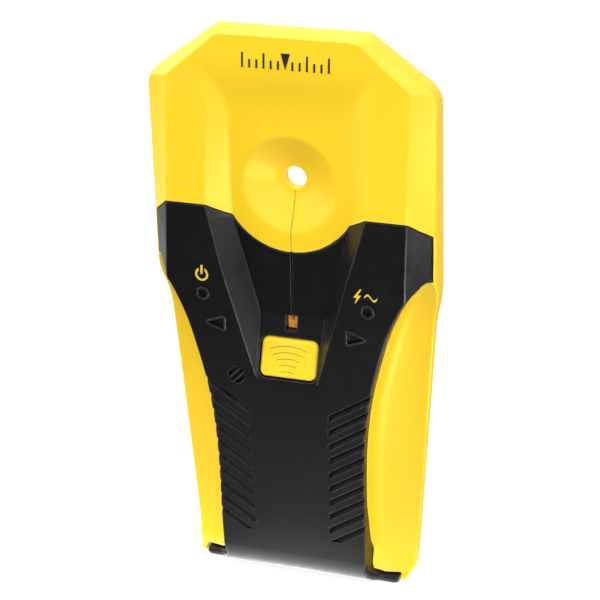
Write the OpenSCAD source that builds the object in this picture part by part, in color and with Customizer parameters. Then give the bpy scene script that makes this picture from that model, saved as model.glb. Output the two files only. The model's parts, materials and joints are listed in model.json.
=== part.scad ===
/* [Housing] */
// half width of the head at the wall face
head_half = 46.5; // [46:0.1:47]
// height of the head face above the wall at the marking hole
face_h0 = 13.35; // [13:0.05:14]
// lean of the head face, degrees
face_lean = 6.7; // [6:0.1:7.5]
// height of the grip face above the wall
grip_h = 16.75; // [16.5:0.05:17.5]
// wall thickness of the two front mouldings
wall = 2.0; // [1.6:0.1:2.2]
// thickness of the back plate
plate_t = 2.0; // [1.8:0.1:2.2]
// gap between neighbouring mouldings
gap = 0.15; // [0.1:0.01:0.2]

/* [Marking hole] */
// radius of the marking hole
hole_r = 3.5; // [3:0.1:4]
// radius of the dish rim
dish_r = 15.3; // [14.5:0.1:15.6]
// height of the dish bottom above the wall
dish_h = 3.3; // [3:0.1:3.6]

/* [Grip] */
// number of grip grooves on each side
grooves = 9; // [6:1:9]
// distance between grooves
groove_pitch = 5.04; // [4.8:0.01:5.1]
// depth of the grip grooves
groove_d = 1; // [0.4:0.1:1]

/* [Controls] */
// half width of the scan button
button_half = 9.35; // [8.8:0.05:9.4]
// travel of the scan button
button_travel = 0.8; // [0.4:0.1:0.8]

/* [Battery door] */
// half width of the battery door
door_half = 12.2; // [12:0.1:12.3]
// radius of the door's pivot stubs
stub_r = 0.75; // [0.7:0.01:0.76]
// radial running clearance of the pivot stubs
stub_gap = 0.05; // [0.02:0.01:0.08]

/* [Hidden] */
$fn = 48;
slack = 0.02;
far = 80;
deep = 40;

// colours
yellow = [0.98, 0.84, 0.09];
black = [0.11, 0.11, 0.12];
dark = [0.05, 0.05, 0.06];
board = [0.05, 0.3, 0.15];
metal = [0.75, 0.75, 0.77];
copper = [0.8, 0.5, 0.25];

// head face and the bevels that fall from its edge to a rim of constant height
lean_k = tan(face_lean);
rim_h = 6.3;
face_half = 39;
face_edge = [[face_half, -60], [face_half, -28], [face_half, 2], [39.05, 31.8], [22.2, 45.7]];
rim_edge = [[head_half, -60], [head_half, -28], [head_half, 2], [head_half, 31], [24.2, 47.2]];
top_z = 47.2;

// side profile of the grip
grip_low_h = 15.95;
kink_z = -(grip_h - face_h0) / lean_k;
roll_r = 10.5;
bottom_z = -135.4;
roll_z = bottom_z + roll_r;

// recess with the dish, the V-shaped valley and the ramp up to the button
floor_h0 = 8.42;
floor_k = 0.03;
floor_half = 19.2;
fade_z = 25;
neck_z = -12.4;
ramp_z = -43;
ramp_half = 10.7;
ramp_end_z = -63.8;
ramp_end_half = 10.2;
ramp_h = floor_h(ramp_z);
ramp_k = (grip_h - ramp_h) / (ramp_z - ramp_end_z);
ramp_a = atan(ramp_k);
arc_r = 22.7;
skin_drop = 2.4;

// seam between the yellow and black mouldings
ear_z = -7.75;
ear_low_z = -13.3;
ear_half = 45.2;
ear_end_z = -27.9;
valley_half = 26.1;
skirt_h = 12.5;
foot_z = -127.5;
foot_end_z = bottom_z;
foot_h = 8.6;
foot_x = 24.4;

// finger recess and latch notch in the bottom end
recess_left = -8.2;
recess_right = 8;
recess_d = 1.4;
recess_h = 10.5;
notch_w = 1.8;
notch_d = 2.4;

ear_skirt_h = 5.6;

// finger scoops
scoop_edge_h = 2.4;
scoop_k = 0.27;
scoop_top_z = -26.3;
scoop_low_z = -132.7;
scoop_rise_z = -44;
scoop_rise_a = 19;
scoop_foot_z = -125;
scoop_foot_a = 40;

// button
button_top_z = -50.6;
button_low_z = -62.6;
button_r = 2.2;
button_gap = 0.35;
button_proud = 0.25;
lip = 1.1;
lip_t = 1.0;
cap_t = 2.2;
stem_r = 2.2;
switch_z = -57;

// circuit board and the parts on it
pcb_h = 3.5;
pcb_t = 1.2;
pcb_top = pcb_h + pcb_t;
pcb_low_z = -66.8;
pcb_top_z = 37;
switch_half = 3;
switch_body_t = 3.5;
plunger_r = 1.7;
plunger_gap = 0.05;
plunger_top = pcb_top + switch_body_t + 1.2;
led_half = 0.8;
led_t = 0.9;
port_x = 27.05;
port_z = -36.4;
port_r = 1.4;
ring_r = 2.2;
ring_t = 0.35;
arrow_z = -45.9;
arrow_tip_x = 26.4;
arrow_base_x = 20.1;
arrow_half = 2.35;
lens_sink = 1.3;
window_top_z = -43.6;
window_low_z = -48.2;
window_half = 1.8;
buzzer_x = -16.8;
speaker_z = -63.2;
speaker_r = 2.8;
buzzer_z = -62.6;
buzzer_r = 4.1;
buzzer_t = 3.2;

// batteries and their tray
cell_r = 5.25;
cell_x = 5.6;
cell_h = 7.4;
cell_top_z = -77.2;
cell_len = 44.5;
tray_half = 11.4;
tray_top_z = -76.7;
tray_low_z = -123.2;
tray_roof = 12.8;
tray_wall = 1;
contact_t = 0.4;
contact_half = 3;
contact_z = tray_low_z + 0.05;
tab_h0 = 9.5;
tab_h1 = 11.5;
tab_end_x = tray_half + tray_wall + 1.25;

// battery door
pivot_z = -72.4;
pivot_h = 1.4;
barrel_r = 1.4;
door_t = 1.8;
door_low_z = -126;
lug_w = 2.2;
stub_len = 1.8;

// printing on the faces
print_t = 0.08;
tick_pitch = 2.3;
tick_z = 34.6;

// case screws
screws = [[-33, 20], [33, 20], [-20.4, -71.4], [20.4, -71.4]];
screw_r = 1.1;
screw_head_r = 2.3;
screw_head_t = 1.1;
screw_tip_h = 7.6;
boss_r = 2.7;

function floor_h(z) = floor_h0 - floor_k * z;
function face_h(z) = min(face_h0 - lean_k * z, grip_h);
function arc(cx, cy, r, a0, a1, n) =
    [for (i = [0:n]) [cx + r * cos(a0 + (a1 - a0) * i / n), cy + r * sin(a0 + (a1 - a0) * i / n)]];
function flip(p) = [for (i = [len(p) - 1:-1:0]) [-p[i][0], p[i][1]]];
function mid(a, b, c, d, t) =
    0.5 * (2 * b + (c - a) * t + (2 * a - 5 * b + 4 * c - d) * t * t + (3 * b - a - 3 * c + d) * t * t * t);
function smooth(p, n) =
    [for (i = [0:len(p) - 2], j = [0:n - 1])
        mid(p[max(i - 1, 0)], p[i], p[i + 1], p[min(i + 2, len(p) - 1)], j / n)];

// right half of the outer edge, from the top centre down to the foot
edge_pts = concat(
    [[24.2, top_z]],
    arc(head_half - 9, 26.4, 9, 54, 0, 5),
    [[head_half, -31.5], [45.8, -36.5], [44.7, -41], [44.1, -47], [38.5, -121]],
    arc(31, bottom_z + 7.2, 6.9, 5, -80, 5));
// seam line of the waist on the right side
waist_pts = smooth([
    [46.6, -24.6], [45, -26.5], [42.3, -28.8], [39.4, -32.4], [36.9, -36.6], [33.2, -45], [30, -55.8],
    [27.1, -68], [25.4, -80.8], [24.7, -95.2], [24.7, -111.4], [24.7, -124]], 3);
// curve from the side of the grip into the foot
foot_arc = arc(foot_x + 4.6, scoop_low_z + 4.6, 4.6, 180, 270, 5);

// ---------- helpers ----------
// plan drawn in x and z, from height a to height b above the wall
module plan(a, b) {
    translate([0, -a, 0])
        rotate([90, 0, 0])
            linear_extrude(height = b - a)
                children();
}

// side profile drawn in y and z, across the whole width
module across(half) {
    translate([-half, 0, 0])
        rotate([90, 0, 90])
            linear_extrude(height = 2 * half)
                children();
}

// box given by its x, z and height limits
module block(x0, x1, z0, z1, a, b) {
    translate([x0, -b, z0])
        cube([x1 - x0, b - a, z1 - z0]);
}

// round post standing on the wall side
module post(x, z, r, a, b) {
    translate([x, -a, z])
        rotate([90, 0, 0])
            cylinder(r = r, h = b - a);
}

module both_sides() {
    children();
    mirror([1, 0, 0])
        children();
}

// convex cut through the given corners, each [x, height, z], and their mirror images
module wedge(corners) {
    hull()
        for (c = corners, s = [-1, 1])
            translate([s * c[0], -c[1], c[2]])
                cube(slack, center = true);
}

// ---------- outer form ----------
module edge_plan() {
    polygon(concat(edge_pts, flip(edge_pts)));
}

module side_profile() {
    polygon(concat(
        [[5, top_z], [0, top_z], [-face_h(45.7), 45.7], [-grip_h, kink_z], [-grip_h, -75]],
        arc(-grip_low_h + roll_r, roll_z, roll_r, 183, 270, 12),
        [[5, bottom_z]]));
}

// space above the bevels, lowered by t: a band of triangles from the face edge out past the rim
module bevel_cut(t) {
    inner = concat(face_edge, flip(face_edge));
    rim = concat(rim_edge, flip(rim_edge));
    n = len(inner);
    reach = 1.6;
    points = [
        for (i = [0:n - 1])
            let (
                a = inner[i],
                d = rim[i] - inner[i],
                h = face_h(a[1]) - t,
                side = (i < n / 2 ? 1 : -1) * t * 0.3,
                b = a + reach * d)
            each [
                [a[0] - side, -h, a[1]], [b[0] - side, -h + reach * (h + t - rim_h), b[1]],
                [b[0] - side, -deep, b[1]], [a[0] - side, -deep, a[1]]]];
    skin = [
        for (i = [0:n - 2], k = [0:3])
            let (a = 4 * i + k, b = 4 * i + (k + 1) % 4)
            each [[a, b, a + 4], [b, b + 4, a + 4]]];
    last = 4 * (n - 1);
    ends = [[3, 2, 1], [3, 1, 0], [last, last + 1, last + 2], [last, last + 2, last + 3]];
    polyhedron(points, concat(skin, ends));
}

// the whole body as one block, shrunk by t
module envelope(t) {
    difference() {
        intersection() {
            plan(0, deep)
                offset(delta = -t)
                    edge_plan();
            across(far)
                offset(delta = -t)
                    side_profile();
        }
        bevel_cut(t);
    }
}

// valley with the dish and the ramp
module valley() {
    wedge([
        [floor_half, floor_h(fade_z), fade_z], [floor_half, floor_h(neck_z), neck_z],
        [floor_half + 20.7, floor_h(fade_z) + 8, fade_z + 3],
         [floor_half + 20.7, floor_h(neck_z) + 17.4, neck_z],
        [floor_half - 2, floor_h(fade_z) + 8, fade_z + 36]]);
    wedge([
        [floor_half, floor_h(neck_z), neck_z], [ramp_half, ramp_h, ramp_z],
        [floor_half + 20.7, floor_h(neck_z) + 17.4, neck_z], [ramp_half + 15.9, ramp_h + 21.1, ramp_z],
        [ramp_end_half, grip_h, ramp_end_z], [ramp_end_half + 9, grip_h + 12, ramp_end_z - 6]]);
}

module dish() {
    flat_r = hole_r + 1;
    end_r = dish_r + 2.7;
    slope = (floor_h0 - dish_h) / (dish_r - flat_r);
    rotate([90, 0, 0])
        rotate_extrude()
            polygon([
                [0, dish_h], [flat_r, dish_h],
                 [end_r, dish_h + slope * (end_r - flat_r)], [end_r, 20], [0, 20]]);
}

// underside of the dish and of the rim round the hole
module dish_under() {
    base_r = 7.3;
    rotate([90, 0, 0])
        rotate_extrude()
            polygon([
                [0, plate_t + gap], [base_r, plate_t + gap],
                 [dish_r + 1.4, floor_h0 - wall], [dish_r + 1.4, 20],
                [0, 20]]);
}

module scoop_plan() {
    polygon(concat(
        [[far, scoop_top_z], [46.6, -24.6]], waist_pts, foot_arc, [[far, scoop_low_z]]));
}

// finger scoops, with a floor that falls outwards
module scoops() {
    both_sides()
        difference() {
            plan(-1, deep)
                scoop_plan();
            translate([41, -scoop_edge_h, 0])
                rotate([0, 0, atan(scoop_k)])
                    translate([-far, 0, -2 * far])
                        cube([2 * far, far, 4 * far]);
            // the floor rises into the head and into the foot
            translate([0, -scoop_edge_h, scoop_rise_z])
                rotate([scoop_rise_a, 0, 0])
                    translate([0, 0, -far])
                        cube([far, far, 4 * far]);
            translate([0, -scoop_edge_h, scoop_foot_z])
                rotate([-scoop_foot_a, 0, 0])
                    translate([0, 0, -far])
                        cube([far, far, 4 * far]);
        }
    both_sides()
        block(foot_x, far, -far * 2, foot_z, foot_h, deep);
}

module body() {
    difference() {
        envelope(0);
        valley();
        dish();
        scoops();
    }
}

// free space inside the two front mouldings
module inside() {
    difference() {
        envelope(wall);
        translate([0, skin_drop, 0])
            valley();
        dish_under();
        post(0, 0, hole_r + 1.9, -2, 3);
        both_sides()
            plan(-2, deep)
                offset(delta = wall)
                    scoop_plan();
        block(-far, far, -far * 2, bottom_z + 3.4, -2, deep);
        block(-far, far, -far * 2, far, -2, plate_t);
    }
    plan(-2, plate_t + 0.1)
        back_plan(0);
}

// plan of the back plate's pocket, shrunk by t
module back_plan(t) {
    offset(delta = -t)
        difference() {
            offset(delta = -2.2)
                edge_plan();
            offset(delta = 2.2)
                union() {
                    scoop_plan();
                    mirror([1, 0])
                        scoop_plan();
                }
            translate([0, -200 + bottom_z + 2.6])
                square([200, 400], center = true);
            circle(r = hole_r + 2);
        }
}

// plan of the black moulding
module black_plan() {
    n = 24;
    floor_arc = arc(0, 0, arc_r, -32.3, -147.7, n);
    ears = concat(
        [[face_half, ear_z], [ear_half, ear_low_z], [ear_half, ear_end_z]],
        [for (p = waist_pts) if (p[1] < ear_end_z) p], foot_arc,
        [[33.4, scoop_low_z], [33.4, -far * 2]]);
    polygon(concat(
        [[floor_half, neck_z + 0.3], [valley_half, ear_z]], ears, flip(ears),
        [[-valley_half, ear_z], [-floor_half, neck_z + 0.3]], [for (i = [n:-1:0]) floor_arc[i]]));
}

// space taken by the black moulding, grown by t; below its side walls the yellow moulding carries on
module black_zone(t) {
    difference() {
        plan(-1, deep)
            offset(delta = t)
                black_plan();
        block(-far, far, foot_z + t, 0, -2, ear_skirt_h - t);
        difference() {
            block(-far, far, foot_z + t, ear_end_z - t, -2, skirt_h - t);
            plan(-3, deep)
                offset(delta = t - wall - 0.3)
                    black_plan();
        }
    }
}

// ---------- yellow moulding ----------
module screw_bosses(list, base, top) {
    for (p = list)
        difference() {
            post(p[0], p[1], boss_r, base, top);
            post(p[0], p[1], screw_r + 0.05, base - 1, screw_tip_h + 0.4);
        }
}

module front_shell() {
    color(yellow)
        difference() {
            union() {
                difference() {
                    body();
                    inside();
                    black_zone(gap / 2);
                }
                intersection() {
                    screw_bosses([screws[0], screws[1]], plate_t + 0.2, deep);
                    envelope(wall / 2);
                }
            }
            post(0, 0, hole_r, -1, deep);
            centre_line();
        }
}

// engraved centre line from the hole to the window
module centre_line() {
    line_w = 0.4;
    line_d = 0.3;
    across_pts = [
        [-(floor_h(-dish_r) - line_d), -dish_r - 0.4], [-(floor_h(ramp_z) - line_d), ramp_z],
        [-deep, ramp_z], [-deep, -dish_r - 0.4]];
    across(line_w / 2)
        polygon(across_pts);
    across(line_w / 2)
        polygon([
            [-(dish_h - line_d), -hole_r - 1], [-(floor_h(-dish_r) - line_d), -dish_r - 0.4],
            [-deep, -dish_r - 0.4], [-deep, -hole_r - 1]]);
}

// ---------- black moulding ----------
module arrow_plan(t) {
    offset(r = t)
        polygon([[arrow_tip_x - 0.8, arrow_z], [arrow_base_x + 0.5, arrow_z + arrow_half - 0.6],
            [arrow_base_x + 0.5, arrow_z - arrow_half + 0.6]]);
}

// one sloping groove, run out through the side of the grip
module groove_cut(i) {
    top_z = -74.6;
    top_x = 13.55;
    taper = 0.11;
    slope_a = 32;
    half_w = 0.85;
    sink = 0.1;
    translate([top_x - i * taper, 0, top_z - i * groove_pitch])
        rotate([0, -slope_a, 0])
            block(0, 30, -half_w, half_w, grip_h - groove_d - i * sink, deep);
}

// the lowest groove is cut short where the grip starts to roll over
module grip_grooves() {
    last_z = -118.6;
    inner_x = 12.4;
    both_sides()
        difference() {
            for (i = [0:grooves])
                groove_cut(i);
            block(-1, 18, last_z - far, last_z, -1, deep);
            block(-1, inner_x, -far * 2, 0, -1, deep);
        }
}

module speaker_slots() {
    slot_half = 0.55;
    slot_pitch = 1.85;
    intersection() {
        post(buzzer_x, speaker_z, speaker_r, 0, deep);
        translate([buzzer_x, 0, speaker_z])
            rotate([0, 45, 0])
                for (s = [-1, 0, 1])
                    block(-4, 4, s * slot_pitch - slot_half, s * slot_pitch + slot_half, 10, deep);
    }
}

module button_plan(t) {
    offset(r = button_r + t)
        translate([-button_half + button_r, button_low_z + button_r])
            square([2 * (button_half - button_r), button_top_z - button_low_z - 2 * button_r]);
}

module ports() {
    both_sides() {
        post(port_x, port_z, port_r, 8, deep);
        plan(8, deep)
            arrow_plan(0.15);
    }
    block(-window_half, window_half, window_low_z, window_top_z, 0, deep);
    plan(0, deep)
        button_plan(button_gap);
}

module port_rims() {
    both_sides() {
        post(port_x, port_z, ring_r, grip_h - wall, grip_h + ring_t);
        plan(grip_h - wall, grip_h + ring_t)
            arrow_plan(0.85);
    }
}

module feet() {
    both_sides()
        plan(2, foot_h)
            polygon(concat(
                [[foot_x - 2, foot_z], [foot_x, foot_z]], foot_arc,
                [[33.2, scoop_low_z], [33.2, foot_end_z + 0.6], [32.6, foot_end_z], [26, foot_end_z],
                    [foot_x - 2, foot_end_z + 2]]));
}

module front_cover() {
    color(black)
        difference() {
            union() {
                difference() {
                    intersection() {
                        union() {
                            body();
                            feet();
                        }
                        black_zone(-gap / 2);
                    }
                    inside();
                }
                intersection() {
                    screw_bosses([screws[2], screws[3]], plate_t + 0.2, deep);
                    envelope(wall / 2);
                }
                port_rims();
            }
            ports();
            grip_grooves();
            speaker_slots();
            centre_line();
            // finger recess and latch notch in the bottom end
            block(recess_left, recess_right, bottom_z - 1, bottom_z + recess_d, -1, recess_h);
            block(recess_left, recess_left + notch_w, bottom_z - 1, bottom_z + notch_d, -1, recess_h);
        }
}

// ---------- back plate, door and batteries ----------
module back_shell() {
    color(black)
        difference() {
            union() {
                difference() {
                    plan(0, plate_t)
                        back_plan(gap);
                    block(-door_half - gap, door_half + gap, door_low_z - 0.3,
                          pivot_z + barrel_r + 0.2, -1, 5);
                }
                // pivot lugs
                both_sides()
                    block(door_half + gap, door_half + gap + lug_w, pivot_z - 1.9, pivot_z + 1.6, 0, 3.1);
                // battery tray
                difference() {
                    block(-tray_half - tray_wall, tray_half + tray_wall, tray_low_z - tray_wall,
                        tray_top_z + tray_wall, door_t + 0.2, tray_roof + tray_wall);
                    block(-tray_half, tray_half, tray_low_z, tray_top_z, -1, tray_roof);
                    // slots for the solder tabs
                    block(-far, far, tray_low_z, tray_low_z + 0.6, tab_h0 - 0.15, tab_h1 + 0.15);
                }
                both_sides()
                    block(tray_half + tray_wall - 0.3, tray_half + tray_wall + 1.4, tray_low_z - tray_wall,
                        tray_top_z - 1, 0.6, 2.6);
                // board posts
                for (p = [[-27, -30], [27, -30], [-22, 32], [22, 32]])
                    post(p[0], p[1], 2, plate_t - 0.1, pcb_h);
            }
            for (p = screws) {
                post(p[0], p[1], screw_r + 0.25, -1, plate_t + 1);
                post(p[0], p[1], screw_head_r + 0.3, -1, screw_head_t + 0.1);
            }
            translate([0, -pivot_h, pivot_z])
                rotate([0, 90, 0])
                    cylinder(r = stub_r + stub_gap, h = 60, center = true);
            // opening for the door, cut again through the tray's flange
            block(-door_half - gap, door_half + gap, door_low_z - 0.3,
                  pivot_z + barrel_r + 0.2, -1, door_t + 0.2);
        }
}

module battery_door() {
    color(black)
        difference() {
            union() {
                block(-door_half, door_half, door_low_z, pivot_z, 0, door_t);
                translate([0, -pivot_h, pivot_z]) {
                    rotate([0, 90, 0])
                        cylinder(r = barrel_r, h = 2 * door_half, center = true);
                    rotate([0, 90, 0])
                        cylinder(r = stub_r, h = 2 * (door_half + stub_len), center = true);
                }
                // latch tongue
                block(-6, 6, door_low_z, door_low_z + 0.7, door_t - 0.5, 4.2);
            }
            // grip ribs for opening, cut into the outer face
            for (i = [0:4])
                block(-5, 5, door_low_z + 4 + i * 2, door_low_z + 5 + i * 2, -1, 0.4);
        }
}

module cell_axis(s) {
    translate([s * cell_x, -cell_h, cell_top_z])
        rotate([0, s > 0 ? 180 : 0, 0])
            translate([0, 0, s > 0 ? 0 : -cell_len])
                children();
}

// steel cans of the two cells, nub at the local top end
module cell_cans() {
    nub = 1;
    color(metal)
        for (s = [-1, 1])
            cell_axis(s) {
                cylinder(r = cell_r - 0.35, h = cell_len - nub);
                translate([0, 0, cell_len - nub - slack])
                    cylinder(r = 1.9, h = nub + slack);
            }
}

module cell_sleeves() {
    color([0.85, 0.45, 0.12])
        for (s = [-1, 1])
            cell_axis(s)
                translate([0, 0, 0.4])
                    difference() {
                        cylinder(r = cell_r, h = cell_len - 1.9);
                        translate([0, 0, -1])
                            cylinder(r = cell_r - 0.33, h = cell_len);
                    }
}

// bent strip that presses on a cell
module leaf() {
    reach = 1.4;
    translate([-cell_x, -cell_h, contact_z])
        rotate([90, 0, 90])
            linear_extrude(height = 2 * contact_half, center = true)
                polygon([
                    [-4, 0], [4, 0], [4, contact_t], [2.6, contact_t], [0.6, reach], [-0.6, reach],
                    [-2.6, contact_t], [-4, contact_t]]);
}

// solder tab that passes through the tray's side wall
module contact_tab() {
    block(cell_x, tab_end_x, contact_z, contact_z + contact_t, tab_h0, tab_h1);
}

module contact_negative() {
    color(metal) {
        leaf();
        mirror([1, 0, 0])
            contact_tab();
    }
}

module contact_positive() {
    color(metal) {
        block(cell_x - contact_half, cell_x + contact_half, contact_z, contact_z + contact_t, cell_h - 4,
            cell_h + 4);
        translate([cell_x, -cell_h, contact_z])
            cylinder(r = 1.8, h = contact_t + 0.95);
        contact_tab();
    }
}

// plate that joins the two cells at the tray's upper end
module contact_bridge() {
    half = cell_x + 3.2;
    z = tray_top_z - 0.05;
    color(metal)
        block(-half, half, z - contact_t, z, cell_h - 4, cell_h + 4);
}

// insulated wire as straight runs with round corners
module wire(pts, r) {
    for (i = [0:len(pts) - 2]) {
        a = pts[i];
        b = pts[i + 1];
        d = b - a;
        n = norm(d);
        translate(a)
            rotate([0, acos(d[2] / n), atan2(d[1], d[0])])
                cylinder(r = r, h = n, $fn = 24);
    }
    for (i = [1:len(pts) - 2])
        translate(pts[i])
            sphere(r = r + 0.03, $fn = 24);
}

module wire_run() {
    wire_r = 0.6;
    x = tab_end_x + 0.05 + wire_r;
    h = (tab_h0 + tab_h1) / 2;
    pad_x = 12;
    pad_z = -63.5;
    wire([[x, -h, tray_low_z + 0.2], [x, -h, -69.5], [pad_x, -9, -66],
          [pad_x, -pcb_top - 0.65, pad_z]], wire_r);
}

module red_wire() {
    color([0.75, 0.06, 0.05])
        wire_run();
}

module black_wire() {
    color([0.06, 0.06, 0.07])
        mirror([1, 0, 0])
            wire_run();
}

module case_screws() {
    color(metal)
        for (p = screws)
            difference() {
                union() {
                    post(p[0], p[1], screw_head_r, 0.1, 0.1 + screw_head_t);
                    post(p[0], p[1], screw_r, 0.1, screw_tip_h);
                }
                for (a = [0, 90])
                    translate([p[0], 0, p[1]])
                        rotate([0, a, 0])
                            block(-1.4, 1.4, -0.3, 0.3, -1, 0.8);
            }
}

// ---------- electronics ----------
module circuit_board() {
    color(board)
        difference() {
            union() {
                block(-35, 35, -26, 24, pcb_h, pcb_top);
                block(-25, 25, 20, pcb_top_z, pcb_h, pcb_top);
                block(-30, 30, -42, -20, pcb_h, pcb_top);
                block(-22.5, 22.5, pcb_low_z, -40, pcb_h, pcb_top);
            }
            post(0, 0, dish_r + 3, 0, 10);
            for (p = [screws[0], screws[1]])
                post(p[0], p[1], boss_r + 0.4, 0, 10);
        }
}

module led(x, z, c) {
    color(c)
        block(x - led_half, x + led_half, z - led_half, z + led_half, pcb_top, pcb_top + led_t);
}

module power_led() {
    led(-port_x, port_z, [0.2, 0.9, 0.3]);
}

module ac_led() {
    led(port_x, port_z, [0.9, 0.1, 0.1]);
}

module arrow_leds() {
    for (s = [-1, 1])
        led(s * 21.2, arrow_z, [0.9, 0.1, 0.1]);
}

module centre_led() {
    led(0, (window_top_z + window_low_z) / 2, [0.95, 0.5, 0.1]);
}

module light_guide(s) {
    post(s * port_x, port_z, port_r - 0.1, pcb_top + led_t + 0.3, grip_h - lens_sink);
}

module power_lens() {
    color(dark)
        light_guide(-1);
}

module ac_lens() {
    color(dark)
        light_guide(1);
}

module arrow_guide() {
    plan(pcb_top + led_t + 0.3, grip_h - lens_sink)
        arrow_plan(0.05);
}

module left_arrow_lens() {
    color(dark)
        mirror([1, 0, 0])
            arrow_guide();
}

module right_arrow_lens() {
    color(dark)
        arrow_guide();
}

// amber light guide behind the centre window
module centre_lens() {
    color([0.85, 0.5, 0.12])
        difference() {
            block(-window_half + 0.1, window_half - 0.1, window_low_z + 0.1, window_top_z - 0.1,
                pcb_top + led_t + 0.3, ramp_h - 0.9);
            post(-0.3, window_top_z - 1.4, 0.95, 0, 20);
        }
}

module switch_body() {
    color(dark)
        difference() {
            block(-switch_half, switch_half, switch_z - switch_half, switch_z + switch_half, pcb_top,
                pcb_top + switch_body_t);
            post(0, switch_z, plunger_r + plunger_gap, pcb_top + 1.7, 20);
        }
}

module switch_plunger() {
    color([0.8, 0.8, 0.78])
        post(0, switch_z, plunger_r, pcb_top + 2.65, plunger_top);
}

module buzzer() {
    color(dark)
        difference() {
            post(buzzer_x, buzzer_z, buzzer_r, pcb_top, pcb_top + buzzer_t);
            post(buzzer_x, buzzer_z, 1, pcb_top + buzzer_t - 0.8, 20);
        }
}

module microcontroller() {
    color(dark)
        difference() {
            block(-3.5, 3.5, -33.5, -26.5, pcb_top + 0.1, pcb_top + 1.1);
            post(-2.7, -27.3, 0.35, pcb_top + 0.9, 20);
        }
}

module chip_pins() {
    color(metal)
        for (a = [0:90:270])
            translate([0, 0, -30])
                rotate([0, a, 0])
                    for (i = [-4:4])
                        block(i * 0.7 - 0.15, i * 0.7 + 0.15, 3.55, 4.5, pcb_top, pcb_top + 0.3);
}

module surface_parts() {
    color([0.55, 0.42, 0.3])
        for (p = [[-8, -26], [-8, -30], [8, -27], [8, -33], [-13, -38],
                  [13, -38], [10, -52], [-10, -52], [27, 19]])
            block(p[0] - 1, p[0] + 1, p[1] - 0.6, p[1] + 0.6, pcb_top, pcb_top + 0.8);
}

// copper sensing plates on the board, either side of the dish
module sensor_plates() {
    color(copper) {
        both_sides()
            block(20, 33, -14, 14, pcb_top, pcb_top + 0.1);
        block(-10, 10, 25, 34, pcb_top, pcb_top + 0.1);
    }
}

// ---------- controls and printing ----------
module ramp_slab(d0, d1) {
    // slab parallel to the ramp, from depth d0 to depth d1 below it
    z0 = ramp_z + 20;
    z1 = ramp_end_z - 20;
    h0 = ramp_h - ramp_k * 20;
    h1 = grip_h + ramp_k * 20;
    across(40)
        polygon([[-(h0 - d0), z0], [-(h1 - d0), z1], [-(h1 - d1), z1], [-(h0 - d1), z0]]);
}

module scan_button() {
    color(yellow)
        difference() {
            union() {
                intersection() {
                    plan(0, deep)
                        button_plan(0);
                    ramp_slab(-button_proud, cap_t);
                }
                intersection() {
                    plan(0, deep)
                        button_plan(lip);
                    ramp_slab(skin_drop + 0.6, skin_drop + 0.6 + lip_t);
                }
                intersection() {
                    difference() {
                        plan(0, deep)
                            button_plan(0);
                        plan(0, deep)
                            button_plan(-1.2);
                    }
                    ramp_slab(1, skin_drop + 0.6 + lip_t);
                }
                intersection() {
                    post(0, switch_z, stem_r, plunger_top + 0.05, deep);
                    ramp_slab(1, 10);
                }
            }
            // hollow of the lip plate
            difference() {
                intersection() {
                    plan(0, deep)
                        button_plan(-1.2);
                    ramp_slab(cap_t, 12);
                }
                post(0, switch_z, stem_r, 0, deep);
            }
            button_arcs();
        }
}

// five engraved arcs, largest at the top
module button_arcs() {
    cz = -69;
    for (i = [0:4]) {
        r = 8.6 + i * 1.9;
        half_a = 14 + i * 2.3;
        intersection() {
            plan(0, deep)
                translate([0, cz])
                    polygon(concat(arc(0, 0, r + 0.15, 90 - half_a, 90 + half_a, 10),
                        arc(0, 0, r - 0.15, 90 + half_a, 90 - half_a, 10)));
            ramp_slab(-5, -button_proud + 0.3);
        }
    }
}

module power_symbol() {
    difference() {
        circle(r = 2.2);
        circle(r = 1.5);
        translate([-1, 0])
            square([2, 4]);
    }
    translate([-0.35, 0.1])
        square([0.7, 2.9]);
}

module bolt_symbol() {
    polygon([[0.9, 2.6], [-1.2, -0.3], [-0.1, -0.3], [-0.9, -2.6], [1.3, 0.5], [0.2, 0.5], [1.5, 2.6]]);
}

module wave_symbol() {
    amp = 0.9;
    half = 0.3;
    up = [for (i = [0:12]) [i * 0.35 - 2.1, amp * sin(i * 30) + half]];
    down = [for (i = [12:-1:0]) [i * 0.35 - 2.1, amp * sin(i * 30) - half]];
    polygon(concat(up, down));
}

// symbols printed over the bend where the head face meets the grip
module symbols() {
    z0 = kink_z + 8;
    z1 = kink_z - 12;
    color(yellow)
        intersection() {
            plan(0, deep) {
                translate([-port_x, -29.9])
                    power_symbol();
                translate([23.9, -31.5])
                    bolt_symbol();
                translate([28.3, -31.5])
                    wave_symbol();
            }
            across(far)
                polygon([
                    [-face_h(z0), z0], [-grip_h, kink_z], [-grip_h, z1], [-grip_h - print_t, z1],
                    [-grip_h - print_t, kink_z], [-face_h(z0) - print_t, z0]]);
        }
}

// plain centring scale printed on the head in place of lettering
module head_scale() {
    face_depth = face_h0 * cos(face_lean);
    color(black)
        rotate([-face_lean, 0, 0])
            plan(face_depth, face_depth + print_t) {
                for (i = [-6:6])
                    if (i != 0)
                        translate([i * tick_pitch - 0.3, tick_z])
                            square([0.6, i % 3 == 0 ? 4.6 : 2.6]);
                polygon([[-1.5, tick_z + 5], [1.5, tick_z + 5], [0, tick_z]]);
            }
}

front_shell();
front_cover();
back_shell();
battery_door();
scan_button();
switch_plunger();
switch_body();
power_lens();
ac_lens();
left_arrow_lens();
right_arrow_lens();
centre_lens();
circuit_board();
power_led();
ac_led();
arrow_leds();
centre_led();
buzzer();
microcontroller();
chip_pins();
surface_parts();
sensor_plates();
cell_cans();
cell_sleeves();
contact_negative();
contact_positive();
contact_bridge();
red_wire();
black_wire();
case_screws();
symbols();
head_scale();
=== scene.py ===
import json
import math

import bpy
import numpy as np
from mathutils import Matrix, Vector


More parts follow.
